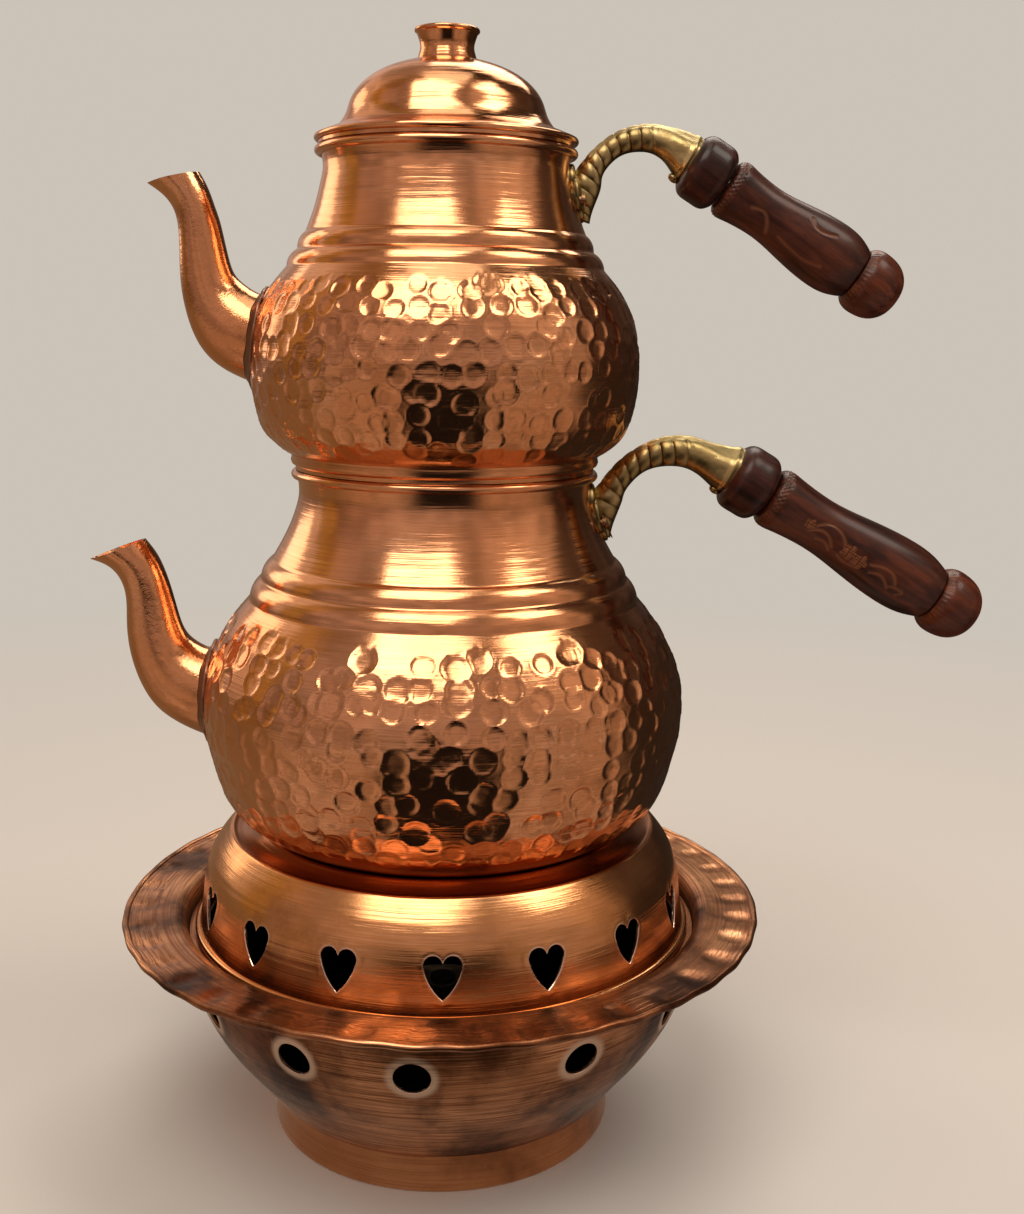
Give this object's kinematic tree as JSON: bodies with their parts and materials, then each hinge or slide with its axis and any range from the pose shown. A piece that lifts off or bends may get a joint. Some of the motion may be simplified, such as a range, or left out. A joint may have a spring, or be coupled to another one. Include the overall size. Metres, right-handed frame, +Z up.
{
  "type": "double teapot on a warmer",
  "caption": "Hammered copper double teapot with wooden handles, standing on a heart-pierced cover over a vented brazier bowl with a wide fluted rim.",
  "frame": {"origin": "on the set's axis, in the plane that the foot ring stands on", "axes": "+Z up along the axis; spouts towards -X, handles towards +X, front towards -Y"},
  "size_m": [0.3332, 0.242, 0.4036],
  "materials": {
    "hammered_copper": "polished copper, hand hammered",
    "polished_copper": "polished copper with fine turning lines",
    "cover_copper": "polished copper with turning lines and heat tint",
    "brushed_copper": "brushed copper with dark stains",
    "cast_brass": "cast brass with brown patina",
    "burner_brass": "plain brass",
    "rivet_copper": "copper rivets",
    "lacquered_wood": "dark red-brown lacquered hardwood, glossy",
    "steel": "plain steel",
    "cotton": "cotton wick"
  },
  "bodies": {
    "brazier": {"foot_ring": "brushed_copper", "brazier_bowl": "brushed_copper", "cover_seat_ring": "cover_copper"},
    "burner": {"burner_cup": "burner_brass", "burner_top": "burner_brass", "burner_wick": "cotton"},
    "cover": {"warmer_cover": "cover_copper"},
    "lower_pot": {"lower_pot_body": "hammered_copper", "lower_pot_base": "polished_copper", "lower_spout": "polished_copper", "lower_handle_bracket": "cast_brass", "lower_handle_rivets": "rivet_copper", "lower_handle_rod": "steel", "lower_handle_barrel": "lacquered_wood", "lower_handle_grip": "lacquered_wood", "lower_handle_knob": "lacquered_wood"},
    "upper_pot": {"upper_pot_body": "hammered_copper", "upper_pot_base": "polished_copper", "upper_spout": "polished_copper", "upper_handle_bracket": "cast_brass", "upper_handle_rivets": "rivet_copper", "upper_handle_rod": "steel", "upper_handle_barrel": "lacquered_wood", "upper_handle_grip": "lacquered_wood", "upper_handle_knob": "lacquered_wood"},
    "lid": {"lid_dome": "polished_copper", "lid_collar": "polished_copper", "lid_knob": "polished_copper", "lid_screw": "steel"}
  },
  "joints": [
    {"name": "cover_lift", "type": "slide", "parent": "brazier", "child": "cover", "axis": [0, 0, 1], "range_m": [0, 0.15]},
    {"name": "burner_lift", "type": "slide", "parent": "brazier", "child": "burner", "axis": [0, 0, 1], "range_m": [0, 0.075]},
    {"name": "lower_pot_lift", "type": "slide", "parent": "cover", "child": "lower_pot", "axis": [0, 0, 1], "range_m": [0, 0.06]},
    {"name": "upper_pot_lift", "type": "slide", "parent": "lower_pot", "child": "upper_pot", "axis": [0, 0, 1], "range_m": [0, 0.05]},
    {"name": "lid_lift", "type": "slide", "parent": "upper_pot", "child": "lid", "axis": [0, 0, 1], "range_m": [0, 0.05]}
  ],
  "couplings": [
    {"joint": "burner_lift", "follows": "cover_lift", "ratio": 0.5}
  ]
}
